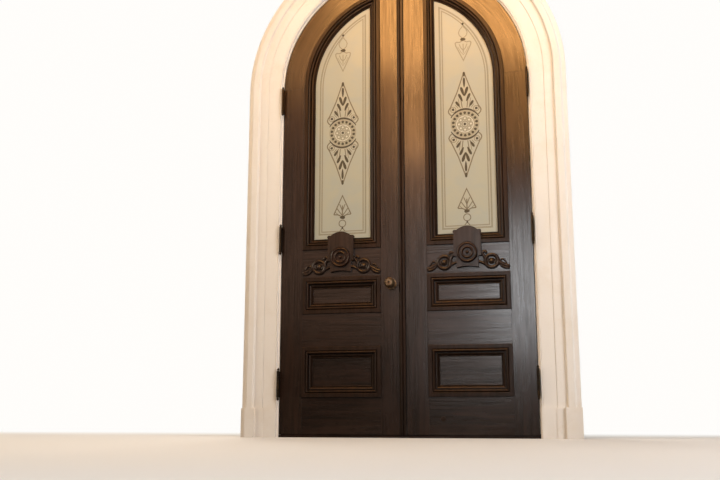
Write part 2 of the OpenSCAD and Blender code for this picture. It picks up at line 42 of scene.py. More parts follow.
# Sizes read from the frame, in metres
glassLow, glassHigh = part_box("right_glass")
mouldLow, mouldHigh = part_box("right_glass_moulding")
bottomLow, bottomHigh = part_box("right_bottom_rail")
middleLow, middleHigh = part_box("right_middle_rail")
friezeLow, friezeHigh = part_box("right_frieze_rail")
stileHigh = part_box("right_hinge_stile")[1]
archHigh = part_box("right_arched_rail")[1]
knobLow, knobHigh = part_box("knobs")
meetingLow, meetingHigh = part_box("left_meeting_stile")
knobAxis = ((knobLow[0] + knobHigh[0]) / 2, (knobLow[2] + knobHigh[2]) / 2)
springHeight = stileHigh[2]
paneAxis = (bottomLow[0] + bottomHigh[0]) / 2

# Camera, at the photograph's place: low, right of the middle, turned to the left and tilted up
cameraSetup = {
    "place": (0.925, -5.122, 0.125),
    "turnLeft": 13.09,
    "tiltUp": 11.19,
    "focalPixels": 888.3,
    "imageWidth": 720,
    "sensorWidth": 36.0,
}


def placeCamera(setup):
    data = bpy.data.cameras.new("camera")
    data.sensor_width = setup["sensorWidth"]
    data.lens = setup["focalPixels"] * setup["sensorWidth"] / setup["imageWidth"]
    camera = bpy.data.objects.new("camera", data)
    camera.location = setup["place"]
    camera.rotation_euler = (math.radians(90 + setup["tiltUp"]), 0, math.radians(setup["turnLeft"]))
    bpy.context.collection.objects.link(camera)
    bpy.context.scene.camera = camera


placeCamera(cameraSetup)
print("camera placed")


# Small helpers for node trees
class Tree:
    def __init__(self, tree):
        self.tree = tree

    def add(self, kind, **settings):
        node = self.tree.nodes.new(kind)
        for name, value in settings.items():
            setattr(node, name, value)
        return node

    def link(self, output, target):
        self.tree.links.new(output, target)

    def put(self, target, value):
        if hasattr(value, "is_output"):
            self.link(value, target)
        else:
            target.default_value = value

    def math(self, operation, a, b=0.0, clamp=False):
        node = self.add("ShaderNodeMath", operation=operation, use_clamp=clamp)
        self.put(node.inputs[0], a)
        self.put(node.inputs[1], b)
        return node.outputs[0]

    def plus(self, a, b, clamp=False):
        return self.math("ADD", a, b, clamp)

    def times(self, a, b, clamp=False):
        return self.math("MULTIPLY", a, b, clamp)

    # The sum of values that each count with a share
    def total(self, *parts):
        result = self.times(*parts[0])
        for value, share in parts[1:]:
            result = self.plus(result, self.times(value, share))
        return result

    def vector(self, operation, a, b):
        node = self.add("ShaderNodeVectorMath", operation=operation)
        self.link(a, node.inputs[0])
        node.inputs[1].default_value = b
        return node.outputs["Vector"]

    def length(self, vector):
        node = self.add("ShaderNodeVectorMath", operation="LENGTH")
        self.link(vector, node.inputs[0])
        return node.outputs["Value"]

    def split(self, vector):
        node = self.add("ShaderNodeSeparateXYZ")
        self.link(vector, node.inputs[0])
        return node.outputs

    def noise(self, vector, scale, detail=3.0, roughness=0.5, distortion=0.0):
        node = self.add("ShaderNodeTexNoise")
        self.link(vector, node.inputs["Vector"])
        self.put(node.inputs["Scale"], scale)
        self.put(node.inputs["Detail"], detail)
        self.put(node.inputs["Roughness"], roughness)
        self.put(node.inputs["Distortion"], distortion)
        return node.outputs["Fac"]

    # Noise with a scale of its own along each axis
    def stretched(self, vector, scale, *look):
        return self.noise(self.vector("MULTIPLY", vector, scale), 1.0, *look)

    def spread(self, value, low, high, outLow=0.0, outHigh=1.0):
        node = self.add("ShaderNodeMapRange", interpolation_type="SMOOTHSTEP")
        self.put(node.inputs["Value"], value)
        node.inputs["From Min"].default_value = low
        node.inputs["From Max"].default_value = high
        self.put(node.inputs["To Min"], outLow)
        self.put(node.inputs["To Max"], outHigh)
        return node.outputs["Result"]

    def mix(self, factor, a, b):
        node = self.add("ShaderNodeMix", data_type="RGBA")
        self.put(node.inputs["Factor"], factor)
        self.put(node.inputs["A"], a)
        self.put(node.inputs["B"], b)
        return node.outputs["Result"]

    def bump(self, height, strength, distance):
        node = self.add("ShaderNodeBump")
        node.inputs["Strength"].default_value = strength
        node.inputs["Distance"].default_value = distance
        self.link(height, node.inputs["Height"])
        return node.outputs["Normal"]


def newGroup(name, inputs, outputs):
    group = bpy.data.node_groups.new(name, "ShaderNodeTree")
    for socketName, kind, value in inputs:
        socket = group.interface.new_socket(socketName, in_out="INPUT", socket_type=kind)
        if value is not None:
            socket.default_value = value
    for socketName, kind in outputs:
        group.interface.new_socket(socketName, in_out="OUTPUT", socket_type=kind)
    tree = Tree(group)
    return group, tree, tree.add("NodeGroupInput"), tree.add("NodeGroupOutput")


floatSocket, colourSocket, vectorSocket = "NodeSocketFloat", "NodeSocketColor", "NodeSocketVector"

# The first five are noises: scale by axis, detail, roughness and distortion
grainLook = {
    "figure": ((16, 16, 1.6), 4.0, 0.55, 1.2),
    "bands": ((95, 95, 3.2), 3.0, 0.6, 0.4),
    "fibres": ((620, 620, 16), 2.0, 0.6, 0.0),
    "pores": ((1150, 1150, 34), 1.0, 0.5, 0.0),
    "patches": ((3.5, 3.5, 1.3), 3.0, 0.5, 0.0),
    "poreRange": (0.62, 0.72),
    "toneShares": (0.5, 0.38, 0.12),  # figure, bands, fibres
    "toneRange": (0.34, 0.68),
    "patchTone": 0.7,
    "poreShare": 0.55,
    "poreColour": (0.008, 0.004, 0.003, 1),
    "heightShares": (0.35, -0.5, 0.3),  # fibres, pores, bands
    "patchRoughness": (0.3, 0.7, 0.3, 0.42),  # from low and high to low and high
    "fibreRoughness": 0.08,
    "polishShares": (0.6, 0.4),  # bands, fibres
    "polishRange": (0.36, 0.6, 0.55, 1.0),  # the same
}


# Wood: figure, fibres and pores; Z of the vector runs along the grain
def makeGrainGroup(look):
    group, tree, given, result = newGroup(
        "woodGrain",
        [("Vector", vectorSocket, None), ("Dark", colourSocket, (0.02, 0.01, 0.008, 1)),
         ("Light", colourSocket, (0.08, 0.04, 0.025, 1))],
        [("Color", colourSocket), ("Height", floatSocket), ("Roughness", floatSocket),
         ("Polish", floatSocket)])
    vector = given.outputs["Vector"]
    layers = ("figure", "bands", "fibres", "pores", "patches")
    figure, bands, fibres, pores, patches = (tree.stretched(vector, *look[layer]) for layer in layers)
    pores = tree.spread(pores, *look["poreRange"])
    tone = tree.total(*zip((figure, bands, fibres), look["toneShares"]))
    patchTone = tree.times(tree.math("SUBTRACT", patches, 0.5), look["patchTone"])
    tone = tree.plus(tree.spread(tone, *look["toneRange"]), patchTone, True)
    colour = tree.mix(tone, given.outputs["Dark"], given.outputs["Light"])
    colour = tree.mix(tree.times(pores, look["poreShare"]), colour, look["poreColour"])
    tree.link(colour, result.inputs["Color"])
    height = tree.total(*zip((fibres, pores, bands), look["heightShares"]))
    tree.link(height, result.inputs["Height"])
    rough = tree.spread(patches, *look["patchRoughness"])
    tree.link(tree.plus(rough, tree.times(fibres, look["fibreRoughness"])), result.inputs["Roughness"])
    polish = tree.total(*zip((bands, fibres), look["polishShares"]))
    tree.link(tree.spread(polish, *look["polishRange"]), result.inputs["Polish"])
    return group


wearLook = {
    "blotches": (4.0, 5.0, 0.65, 0.6),
    "blotchRange": (0.46, 0.7),
    "specks": (90.0, 2.0, 0.6),
    "speckRange": (0.55, 0.75),
    "speckShare": 0.4,
}


# Dust and handling: soft blotches with a little speckle
def makeWearGroup(look):
    group, tree, given, result = newGroup(
        "surfaceWear",
        [("Vector", vectorSocket, None), ("Scale", floatSocket, 1.0), ("Amount", floatSocket, 0.5)],
        [("Mask", floatSocket), ("Speckle", floatSocket)])
    scaled = tree.add("ShaderNodeVectorMath", operation="SCALE")
    tree.link(given.outputs["Vector"], scaled.inputs[0])
    tree.link(given.outputs["Scale"], scaled.inputs["Scale"])
    vector = scaled.outputs["Vector"]
    broad = tree.spread(tree.noise(vector, *look["blotches"]), *look["blotchRange"])
    fine = tree.spread(tree.noise(vector, *look["specks"]), *look["speckRange"])
    amount = given.outputs["Amount"]
    mask = tree.times(tree.plus(tree.times(fine, look["speckShare"]), broad), amount, True)
    tree.link(mask, result.inputs["Mask"])
    tree.link(tree.times(fine, amount), result.inputs["Speckle"])
    return group


grainGroup = makeGrainGroup(grainLook)
wearGroup = makeWearGroup(wearLook)


def useGroup(tree, group, vector, **values):
    node = tree.add("ShaderNodeGroup", node_tree=group)
    tree.link(vector, node.inputs["Vector"])
    for name, value in values.items():
        tree.put(node.inputs[name], value)
    return node


def newMaterial(name):
    material = bpy.data.materials.new(name)
    material.use_nodes = True
    tree = Tree(material.node_tree)
    shader = material.node_tree.nodes["Principled BSDF"]
    position = tree.add("ShaderNodeTexCoord").outputs["Object"]
    return material, tree, shader, position


# Grain directions: up along the stiles, across the rails, and round the arch
def grainVector(tree, position, direction):
    if direction == "up":
        return position
    x, y, z = tree.split(position)
    if direction == "across":
        values = (z, y, x)
    else:
        rise = tree.math("SUBTRACT", z, springHeight)
        radius = tree.math("SQRT", tree.plus(tree.times(x, x), tree.times(rise, rise)))
        values = (radius, y, tree.times(tree.math("ARCTAN2", rise, x), archHigh[0]))
    combined = tree.add("ShaderNodeCombineXYZ")
    for socket, value in zip(combined.inputs, values):
        tree.link(value, socket)
    return combined.outputs[0]


# Each of the first three is the dark and the light tone of a wood
woodFinish = {
    "plain": ((0.0022, 0.0009, 0.0006, 1), (0.018, 0.0066, 0.0034, 1)),
    "rose": ((0.004, 0.0012, 0.0007, 1), (0.028, 0.009, 0.004, 1)),
    "carved": ((0.004, 0.002, 0.0015, 1), (0.026, 0.013, 0.009, 1)),
    "dust": (0.07, 0.055, 0.045, 1),
    "dustScale": 2.0,
    "dustAmount": 0.05,
    "dustRoughness": 0.8,
    "shiftByAxis": (1.0, 0.4, 1.7),
    "bump": (0.35, 0.0004),  # strength and distance
    "sheen": (1.0, 0.72, 0.46, 1),
    "specular": 0.2,
    "coatRoughness": 0.2,
    "coatIndex": 1.6,
    "mattRoughness": 0.25,
    "mattCoatRoughness": 0.15,
}

# Grain direction, tones, where in the grain the wood is cut, and how full its varnish is
woods = {
    "stileWood": ("up", "plain", 0.0, 1.0),
    "railWood": ("across", "plain", 3.1, 1.0),
    "panelWood": ("across", "plain", 7.7, 1.0),
    "archWood": ("round", "plain", 5.3, 1.0),
    "mouldingWood": ("up", "plain", 9.2, 0.32),
    "astragalWood": ("up", "plain", 0.7, 0.32),
    "carvedWood": ("up", "carved", 12.9, 0.55),
    "rosetteWood": ("across", "rose", 15.1, 0.55),
    "sillWood": ("across", "plain", 18.4, 0.55),
}


def woodMaterial(name, direction, tones, shift, coat):
    material, tree, shader, position = newMaterial(name)
    look = woodFinish
    dark, light = look[tones]
    matt = 1 - coat
    along = grainVector(tree, position, direction)
    moved = tree.vector("ADD", along, [shift * share for share in look["shiftByAxis"]])
    grain = useGroup(tree, grainGroup, moved, Dark=dark, Light=light)
    wear = useGroup(tree, wearGroup, position, Scale=look["dustScale"], Amount=look["dustAmount"])
    colour = tree.mix(wear.outputs["Mask"], grain.outputs["Color"], look["dust"])
    tree.link(colour, shader.inputs["Base Color"])
    rough = tree.plus(grain.outputs["Roughness"], tree.times(wear.outputs["Mask"], look["dustRoughness"]))
    tree.link(tree.plus(rough, look["mattRoughness"] * matt, True), shader.inputs["Roughness"])
    tree.link(tree.bump(grain.outputs["Height"], *look["bump"]), shader.inputs["Normal"])
    tree.link(tree.times(grain.outputs["Polish"], coat), shader.inputs["Coat Weight"])
    shader.inputs["Specular IOR Level"].default_value = look["specular"]
    shader.inputs["Coat Roughness"].default_value = look["coatRoughness"] + look["mattCoatRoughness"] * matt
    shader.inputs["Coat IOR"].default_value = look["coatIndex"]
    shader.inputs["Specular Tint"].default_value = look["sheen"]
    return material


paintFinish = {
    "colour": (0.86, 0.785, 0.70, 1),
    "aged": (0.76, 0.645, 0.51, 1),
    "agedScale": 0.8,
    "agedAmount": 0.35,
    "strokes": ((260, 260, 5), 2.0, 0.5),
    "roughness": 0.34,
    "strokeRoughness": 0.16,
    "bump": (0.22, 0.0005),
}


def paintMaterial(name, direction):
    material, tree, shader, position = newMaterial(name)
    look = paintFinish
    wear = useGroup(tree, wearGroup, position, Scale=look["agedScale"], Amount=look["agedAmount"])
    strokes = tree.stretched(grainVector(tree, position, direction), *look["strokes"])
    tree.link(tree.mix(wear.outputs["Mask"], look["colour"], look["aged"]), shader.inputs["Base Color"])
    rough = tree.plus(tree.times(strokes, look["strokeRoughness"]), look["roughness"])
    tree.link(rough, shader.inputs["Roughness"])
    tree.link(tree.bump(strokes, *look["bump"]), shader.inputs["Normal"])
    return material


glassFinish = {
    "frost": (0.44, 0.41, 0.30, 1),
    "frostCool": (0.41, 0.40, 0.32, 1),
    "mottle": (7.0, 4.0, 0.6, 0.5),
    "mottleRange": (0.35, 0.65),
    "grit": (900.0, 2.0, 0.6),
    "roughness": 0.3,
    "gritRoughness": 0.2,
    "bump": (0.08, 0.0002),
    "specular": 0.35,
    "coat": 0.15,
    "coatRoughness": 0.1,
}


# Acid-etched panes: milky, a little mottled, with a glossy face
def glassMaterial(look):
    material, tree, shader, position = newMaterial("frostedGlass")
    mottle = tree.spread(tree.noise(position, *look["mottle"]), *look["mottleRange"])
    grit = tree.noise(position, *look["grit"])
    tree.link(tree.mix(mottle, look["frost"], look["frostCool"]), shader.inputs["Base Color"])
    rough = tree.plus(tree.times(grit, look["gritRoughness"]), look["roughness"])
    tree.link(rough, shader.inputs["Roughness"])
    tree.link(tree.bump(grit, *look["bump"]), shader.inputs["Normal"])
    shader.inputs["Specular IOR Level"].default_value = look["specular"]
    shader.inputs["Coat Weight"].default_value = look["coat"]
    shader.inputs["Coat Roughness"].default_value = look["coatRoughness"]
    return material


etchFinish = {
    "colours": {
        "etchedDark": (0.042, 0.033, 0.018),
        "etchedLine": (0.135, 0.11, 0.066),
        "etchedBorder": (0.22, 0.195, 0.135),
        "etchedShade": (0.265, 0.245, 0.175),
        "etchedPale": (0.52, 0.49, 0.39),
    },
    "lightest": 1.5,
    "grit": (500.0, 3.0, 0.7),
    "gritRange": (0.3, 0.7),
    "roughness": 0.55,
}


def etchMaterial(name, colour):
    material, tree, shader, position = newMaterial(name)
    look = etchFinish
    grit = tree.spread(tree.noise(position, *look["grit"]), *look["gritRange"])
    lighter = [look["lightest"] * c for c in colour]
    tree.link(tree.mix(grit, (*colour, 1), (*lighter, 1)), shader.inputs["Base Color"])
    shader.inputs["Roughness"].default_value = look["roughness"]
    return material


metalFinish = {
    "brass": {"main": (0.30, 0.215, 0.13, 1), "worn": (0.065, 0.045, 0.03, 1),
              "amount": 0.9, "roughness": 0.3},
    "bronze": {"main": (0.032, 0.023, 0.015, 1), "worn": (0.13, 0.09, 0.048, 1),
               "amount": 0.45, "roughness": 0.38},
    "wearScale": 9.0,
    "wornRoughness": 0.3,
    "bump": (0.2, 0.0003),
    "metallic": 0.9,
    "dimple": 0.0065,
    "dimpleFade": (0.5, 1.3),
    "dimpleShadeShare": 0.85,
}


# The knob has a dark dimple in the middle of its face: painted shade in the worn brass colour, darkest at
# the middle
def metalMaterial(name, metal, shadedDimple=False):
    material, tree, shader, position = newMaterial(name)
    look = metalFinish
    kind = look[metal]
    wear = useGroup(tree, wearGroup, position, Scale=look["wearScale"], Amount=kind["amount"])
    colour = tree.mix(wear.outputs["Mask"], kind["main"], kind["worn"])
    if shadedDimple:
        # Painted shade in the dimple
        offset = tree.vector("SUBTRACT", position, (knobAxis[0], 0, knobAxis[1]))
        away = tree.length(tree.vector("MULTIPLY", offset, (1, 0, 1)))
        inner, outer = (look["dimple"] * share for share in look["dimpleFade"])
        colour = tree.mix(tree.spread(away, inner, outer, look["dimpleShadeShare"], 0.0), colour, kind["worn"])
    tree.link(colour, shader.inputs["Base Color"])
    rough = tree.plus(tree.times(wear.outputs["Mask"], look["wornRoughness"]), kind["roughness"])
    tree.link(rough, shader.inputs["Roughness"])
    tree.link(tree.bump(wear.outputs["Speckle"], *look["bump"]), shader.inputs["Normal"])
    shader.inputs["Metallic"].default_value = look["metallic"]
    return material


shadowFinish = {"dark": (0.004, 0.002, 0.002, 1), "light": (0.012, 0.006, 0.004, 1), "roughness": 0.8}


def shadowMaterial(look):
    material, tree, shader, position = newMaterial("jointShadow")
    grain = useGroup(tree, grainGroup, position, Dark=look["dark"], Light=look["light"])
    tree.link(grain.outputs["Color"], shader.inputs["Base Color"])
    shader.inputs["Roughness"].default_value = look["roughness"]
    return material


def makeMaterials():
    made = {name: woodMaterial(name, *wood) for name, wood in woods.items()}
    for name, colour in etchFinish["colours"].items():
        made[name] = etchMaterial(name, colour)
    made["legPaint"] = paintMaterial("legPaint", "up")
    made["archPaint"] = paintMaterial("archPaint", "round")
    made["glass"] = glassMaterial(glassFinish)
    made["agedBrass"] = metalMaterial("agedBrass", "brass")
    made["knobBrass"] = metalMaterial("knobBrass", "brass", shadedDimple=True)
    made["darkBronze"] = metalMaterial("darkBronze", "bronze")
    made["jointShadow"] = shadowMaterial(shadowFinish)
    return made


materials = makeMaterials()

# The finish of each node, by how its name ends; the longest ending that fits counts
nodeFinishes = {
    "hinge_stile": "stileWood", "meeting_stile": "stileWood", "astragal": "astragalWood",
    "arched_rail": "archWood", "frieze_rail": "railWood", "middle_rail": "railWood",
    "bottom_rail": "railWood", "upper_panel": "panelWood", "lower_panel": "panelWood",
    "panel_mouldings": "mouldingWood", "glass_moulding": "mouldingWood", "glass": "glass",
    "crest": "carvedWood", "rosette": "rosetteWood", "leaf_hinges": "darkBronze",
    "frame_hinges": "darkBronze", "knob_roses": "agedBrass", "knobs": "knobBrass",
    "threshold": "sillWood", "arched_casing": "archPaint", "arched_head": "archPaint",
    "arched_stop": "archPaint", "casing": "legPaint", "jamb": "legPaint", "stop": "legPaint",
    "plinth_blocks": "legPaint",
}
softEdges = {"width": 0.0008, "segments": 2, "sharperThan": 40}


def dressNodes(edges):
    for name, node in nodes.items():
        ending = max((e for e in nodeFinishes if name.endswith(e)), key=len)
        node.data.materials.clear()
        node.data.materials.append(materials[nodeFinishes[ending]])
        softened = node.modifiers.new("softEdges", "BEVEL")
        softened.width = edges["width"]
        softened.segments = edges["segments"]
        softened.limit_method = "ANGLE"
        softened.angle_limit = math.radians(edges["sharperThan"])
        softened.harden_normals = False


dressNodes(softEdges)
print("finishes on the frame")


# A piece made of a finished bmesh, in one of the materials
def addPiece(name, mesh, material):
    data = bpy.data.meshes.new(name)
    mesh.to_mesh(data)
    mesh.free()
    data.materials.append(materials[material])
    piece = bpy.data.objects.new(name, data)
    bpy.context.collection.objects.link(piece)
    return piece


# Flat shapes on the panes: outlines in millimetres beside the pane's axis, and above the floor
def addPolygon(mesh, points, place, flip):
    corners = [mesh.verts.new(place(u, v)) for u, v in points]
    mesh.faces.new(corners[::-1] if flip else corners)


# A width is one number, or the width at the middle and the one at the ends
def addRibbon(mesh, points, width, place, flip, closed, sharpestMitre=0.5):
    count = len(points)
    middle, ends = width if isinstance(width, tuple) else (width, width)
    left, right = [], []
    for i, point in enumerate(points):
        here = Vector(point)
        first = (here - Vector(points[(i - 1) % count])).normalized()
        second = (Vector(points[(i + 1) % count]) - here).normalized()
        if not closed and i == 0:
            first = second
        if not closed and i == count - 1:
            second = first
        heading = (first + second).normalized()
        local = ends + (middle - ends) * math.sin(math.pi * i / (count - 1))
        side = Vector((-heading.y, heading.x)) * local / 2 / max(sharpestMitre, first.dot(heading))
        left.append(mesh.verts.new(place(*(here + side))))
        right.append(mesh.verts.new(place(*(here - side))))
    for i in range(count if closed else count - 1):
        j = (i + 1) % count
        quad = [left[i], right[i], right[j], left[j]]
        mesh.faces.new(quad[::-1] if flip else quad)


def arc(cu, cv, radius, start, end, steps=24):
    angles = [math.radians(start + (end - start) * i / steps) for i in range(steps + 1)]
    return [(cu + radius * math.cos(a), cv + radius * math.sin(a)) for a in angles]


def ring(cu, cv, radius, count):
    return arc(cu, cv, radius, 0, 360 - 360 / count, count - 1)


def drop(cu, cv, length, width, lean, taper=0.35, steps=14):
    cosine, sine = math.cos(math.radians(lean)), math.sin(math.radians(lean))
    points = []
    for i in range(steps):
        t = 2 * math.pi * i / steps
        along = length / 2 * math.cos(t)
        across = width / 2 * math.sin(t) * (1 - taper * math.cos(t))
        points.append((cu + along * cosine - across * sine, cv + along * sine + across * cosine))
    return points


# A line given from the middle outwards, with the same line on the other side
def bothSides(points):
    return [(-u, v) for u, v in reversed(points) if u] + points


def halfOutline(points, half, height):
    return [(half * u, height + v) for u, v in points]


def strokes(lines, side, height, width):
    return [([(side * u, height + v) for u, v in line], width, False) for line in lines]


# In millimetres and degrees; the steps are how many corners make a round line
etching = {
    "smallSteps": 15,
    "hubSteps": 18,
    "ringSteps": 36,
    "bandSteps": 45,
    "borderSteps": 40,
    "line": 7.0,
    "thin": 5.5,
    "fine": 3.2,
    "bold": (12.5, 5.0),
    "sightInset": 67.0,
    "borders": ((31.0, 9.5), (46.0, 7.0)),  # inset and width
    "wheelHeight": 1855.0,
    "wheelRadius": 94.5,
    "wheelSpan": (27, 153),
    "hub": 16.0,
    "beadRing": 70.5,
    "beadCount": 18,
    "bead": (18.0, 16.0),
    "shade": (72.0, 29.0),  # radius and width
    "flowerRing": 56.0,
    "flowerHub": 18.0,
    "petalRing": 36.0,
    "petalRadius": 11.0,
    "petalCount": 8,
    "paleRing": 51.0,
    "paleSpot": 9.0,
    # Leaves: beside and above the wheel's middle, length, width and lean
    "fan": ((70, 95, 17, 16, 40), (42, 129, 42, 15, 32), (23, 169, 56, 16, 25), (11, 207, 64, 17, 18)),
    "topLeaves": ((265, 66, 14), (318, 32, 14)),
    "leafRing": 17.0,
    "stalkFoot": (0.62, 104),  # share of the leaf's place beside the axis, and height
    "stalkAside": ((15, -4), (13, -2)),  # a fine line beside the stalk, at its top and at its foot
    "lozengeReach": 332.0,
    "lozengeHalf": 97.0,
    "earHeight": 88.0,
    "sideBow": (0.45, 0.52),  # share of the half width, at this share of the way from tip to ear
    # The side's bend at the ear: share of the half width, and height beside the ear's
    "earBend": ((0.88, 23), (0.98, 9), (1.02, -3), (0.99, -14), (0.9, -25), (0.82, -31)),
    "triangleTop": 1452.0,
    "triangleBase": 1334.0,
    "triangleHalf": 54.0,
    # Heights beside the triangle's base
    "triangleSag": ((0, -16), (0.5, -2), (1, 0)),
    "triangleStem": ((0, -10), (0, 56)),
    "pendantRing": (-57, 21),  # height and radius
    "pendantTurn": (90, 430, 26),
    "pendantThin": (((3, -76), (-4, -90), (-17, -106)), ((0, 22), (8, 42), (17, 64)),
                    ((0, -8), (16, 12), (34, 38))),
    "pendantFine": (((22, -6), (32, 4), (45, 16)),),
    "pendantSpots": ((-19, 33, 21, 0), (-84, 14, 11, 90)),
    "kiteTop": 2392.0,
    "kitePoint": 2262.0,
    "kiteHalf": 49.0,
    # Heights beside the kite's top
    "kiteShoulder": ((0.93, -30), (1, -12)),
    "kiteLid": ((0, 3), (0.45, -10), (0.8, -7), (1, -12)),
    "kiteStem": ((0, -20), (0, -80)),
    "crownThin": (((0, 14), (21, 34), (27, 54), (19, 74), (5, 90), (0, 106)),
                  ((0, -64), (15, -46), (24, -22))),
    "crownFine": (((0, -92), (16, -72), (33, -38)),),
    "crownSpots": ((9, 34, 19, 0), (111, 15, 15, 0)),
}


# Each of these functions gives ribbons, as points, width and whether closed, and filled outlines.
# The wheel: two bold arcs round a ring of beads and a hub
def wheelShapes(e):
    c = e["wheelHeight"]
    start, end = e["wheelSpan"]
    ribbons = [(arc(0, c, e["wheelRadius"], way * start, way * end), e["bold"], False) for way in (1, -1)]
    polygons = [drop(0, c, e["hub"], e["hub"], 0)]
    for i in range(e["beadCount"]):
        turn = 360 * i / e["beadCount"] + 90
        u, v = e["beadRing"] * math.cos(math.radians(turn)), e["beadRing"] * math.sin(math.radians(turn))
        polygons.append(drop(u, c + v, *e["bead"], turn + 180))
    return ribbons, polygons


def petalPlaces(e):
    turns = [math.radians(360 / e["petalCount"] * i) for i in range(e["petalCount"])]
    return [(e["petalRing"] * math.cos(a), e["wheelHeight"] + e["petalRing"] * math.sin(a)) for a in turns]


# A flower of small loops within the beads
def flowerShapes(e):
    c = e["wheelHeight"]
    ribbons = [(ring(0, c, e["flowerRing"], e["ringSteps"]), e["fine"], True),
               (ring(0, c, e["flowerHub"], e["hubSteps"]), e["thin"], True)]
    petals = [ring(u, v, e["petalRadius"], e["smallSteps"]) for u, v in petalPlaces(e)]
    return ribbons + [(petal, e["thin"], True) for petal in petals], []


# Light spots in the loops and a light ring round them, and the toned band that the beads lie on
def paleShapes(e):
    spots = [drop(u, v, e["paleSpot"], e["paleSpot"], 0) for u, v in petalPlaces(e)]
    return [(ring(0, e["wheelHeight"], e["paleRing"], e["ringSteps"]), e["fine"], True)], spots


def shadeShapes(e):
    radius, width = e["shade"]
    return [(ring(0, e["wheelHeight"], radius, e["bandSteps"]), width, True)], []


# Leaves that fan out of the wheel, up for way 1 and down for way -1, each with its thick end outwards
def fanShapes(e, way):
    c = e["wheelHeight"]
    inwards = 180 + 90 * way
    polygons = [drop(0, c + way * v, length, width, inwards) for v, length, width in e["topLeaves"]]
    for side in (-1, 1):
        for u, v, length, width, lean in e["fan"]:
            polygons.append(drop(side * u, c + way * v, length, width, inwards - side * way * lean))
    return [], polygons


# The sides of the lozenge, a ring in each ear, and the stalks of the leaves
def lozengeShapes(e, way):
    c, half = e["wheelHeight"], e["lozengeHalf"]
    tip, ear = c + way * e["lozengeReach"], c + way * e["earHeight"]
    share, reached = e["sideBow"]
    bend = [(share, tip + (ear - tip) * reached)] + [(u, ear + way * v) for u, v in e["earBend"]]
    foot, rise = e["stalkFoot"]
    (topU, topV), (footU, footV) = e["stalkAside"]
    ringU, ringV = e["fan"][0][:2]
    stalked = [spray[:2] for spray in e["fan"][1:3]]  # only the second and third leaf have a stalk
    ribbons = []
    for side in (-1, 1):
        ribbons.append(([(0, tip)] + [(side * half * u, v) for u, v in bend], e["line"], False))
        leafRing = ring(side * ringU, c + way * ringV, e["leafRing"], e["smallSteps"])
        ribbons.append((leafRing, e["fine"], True))
        for u, v in stalked:
            ribbons.append(([(side * u, c + way * v), (side * u * foot, c + way * rise)], e["thin"], False))
            ribbons.append(([(side * (u + topU), c + way * (v + topV)),
                             (side * (u * foot + footU), c + way * (rise + footV))], e["fine"], False))
    return ribbons, []


# The small motifs under and over the lozenge
def pendantShapes(e):
    base, half = e["triangleBase"], e["triangleHalf"]
    height, radius = e["pendantRing"]
    ribbons = [(bothSides([(0, e["triangleTop"]), (half, base)]), e["line"], False),
               (bothSides(halfOutline(e["triangleSag"], half, base)), e["line"], False)]
    ribbons += strokes([e["triangleStem"]], 1, base, e["line"])
    ribbons.append((arc(0, base + height, radius, *e["pendantTurn"]), e["thin"], True))
    for side in (-1, 1):
        ribbons += strokes(e["pendantThin"], side, base, e["thin"])
        ribbons += strokes(e["pendantFine"], side, base, e["fine"])
    return ribbons, []


def crownShapes(e):
    top, half = e["kiteTop"], e["kiteHalf"]
    kite = [(0, e["kitePoint"])] + halfOutline(e["kiteShoulder"], half, top)
    lid = halfOutline(e["kiteLid"], half, top)
    ribbons = [(bothSides(line), e["line"], False) for line in (kite, lid)]
    ribbons += strokes([e["kiteStem"]], 1, top, e["thin"])
    for side in (-1, 1):
        ribbons += strokes(e["crownThin"], side, top, e["thin"])
        ribbons += strokes(e["crownFine"], side, top, e["fine"])
    return ribbons, []


# The few dark spots of the small motifs
def spotShapes(e):
    spots = [drop(0, e["triangleBase"] + v, *look) for v, *look in e["pendantSpots"]]
    return [], spots + [drop(0, e["kiteTop"] + v, *look) for v, *look in e["crownSpots"]]


# Two soft lines that follow the edge of the pane
def borderShapes(e):
    axis, spring, sight = paneAxis * 1000, springHeight * 1000, e["sightInset"]
    x0, x1, z0 = mouldLow[0] * 1000 + sight, mouldHigh[0] * 1000 - sight, mouldLow[2] * 1000 + sight
    ribbons = []
    for inset, width in e["borders"]:
        r = x1 - inset
        end = math.degrees(math.acos((x0 + inset) / r))
        bend = arc(0, spring, r, 0, end, e["borderSteps"])
        path = [(x0 + inset, bend[-1][1]), (x0 + inset, z0 + inset), (r, z0 + inset)] + bend[:-1]
        ribbons.append(([(u - axis, v) for u, v in path], width, True))
    return ribbons, []


# Films, in metres off the pane: the dark one stands highest, the shade lowest
film = {"thickness": 0.0002, "shadeRise": 0.00004, "rise": 0.00015, "darkRise": 0.0002}


def etchPane(leaf, side, groups, name, material, rise=film["rise"]):
    for face, depth, flip in (("front", glassLow[1], side < 0), ("back", glassHigh[1], side > 0)):
        out = -1 if face == "front" else 1
        mesh = bmesh.new()

        def place(u, v):
            return (side * (paneAxis + u / 1000), depth + out * rise, v / 1000)

        for ribbons, polygons in groups:
            for points, width, closed in ribbons:
                addRibbon(mesh, points, width, place, flip, closed)
            for points in polygons:
                addPolygon(mesh, points, place, flip)
        piece = addPiece(f"{leaf}_{name}_{face}", mesh, material)
        thick = piece.modifiers.new("film", "SOLIDIFY")
        thick.thickness = film["thickness"]
        thick.offset = 0
        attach(piece, f"{leaf}_leaf")


def etchLeaf(leaf, side, e):
    etchPane(leaf, side, [wheelShapes(e), fanShapes(e, 1), fanShapes(e, -1), spotShapes(e)],
             "etching", "etchedDark", film["darkRise"])
    etchPane(leaf, side, [lozengeShapes(e, 1), lozengeShapes(e, -1), pendantShapes(e)],
             "etched_lines", "etchedLine")
    etchPane(leaf, side, [paleShapes(e)], "etched_pale", "etchedPale")
    etchPane(leaf, side, [borderShapes(e), flowerShapes(e), crownShapes(e)], "etched_border", "etchedBorder")
    etchPane(leaf, side, [shadeShapes(e)], "etched_shade", "etchedShade", film["shadeRise"])


